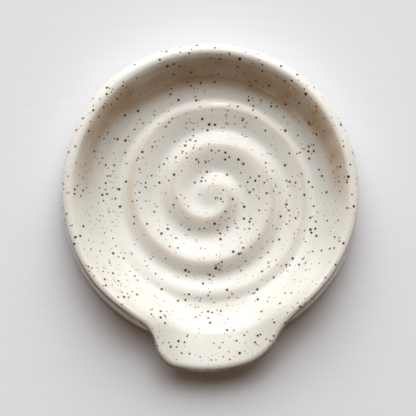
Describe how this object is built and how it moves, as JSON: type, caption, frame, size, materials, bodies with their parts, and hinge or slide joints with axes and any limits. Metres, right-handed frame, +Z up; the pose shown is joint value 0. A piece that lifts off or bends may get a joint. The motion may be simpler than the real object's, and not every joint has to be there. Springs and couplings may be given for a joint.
{
  "type": "spoon rest",
  "caption": "Round thrown stoneware spoon rest with a raised rim, a spiral ridge over the floor and an open lip for the spoon's handle, under a glossy speckled glaze.",
  "frame": {"origin": "middle of the flat foot, on the surface that the dish stands on, on the axis it was thrown about", "axes": "+Z up out of the dish, -Y out through the lip for the handle, +X to the right with the lip towards the viewer"},
  "size_m": [0.1248, 0.1376, 0.021],
  "materials": {
    "bare_clay": "matte",
    "speckled_glaze": "gloss"
  },
  "bodies": {
    "root": {"clay_body": "bare_clay", "glaze_coat": "speckled_glaze"}
  },
  "joints": []
}
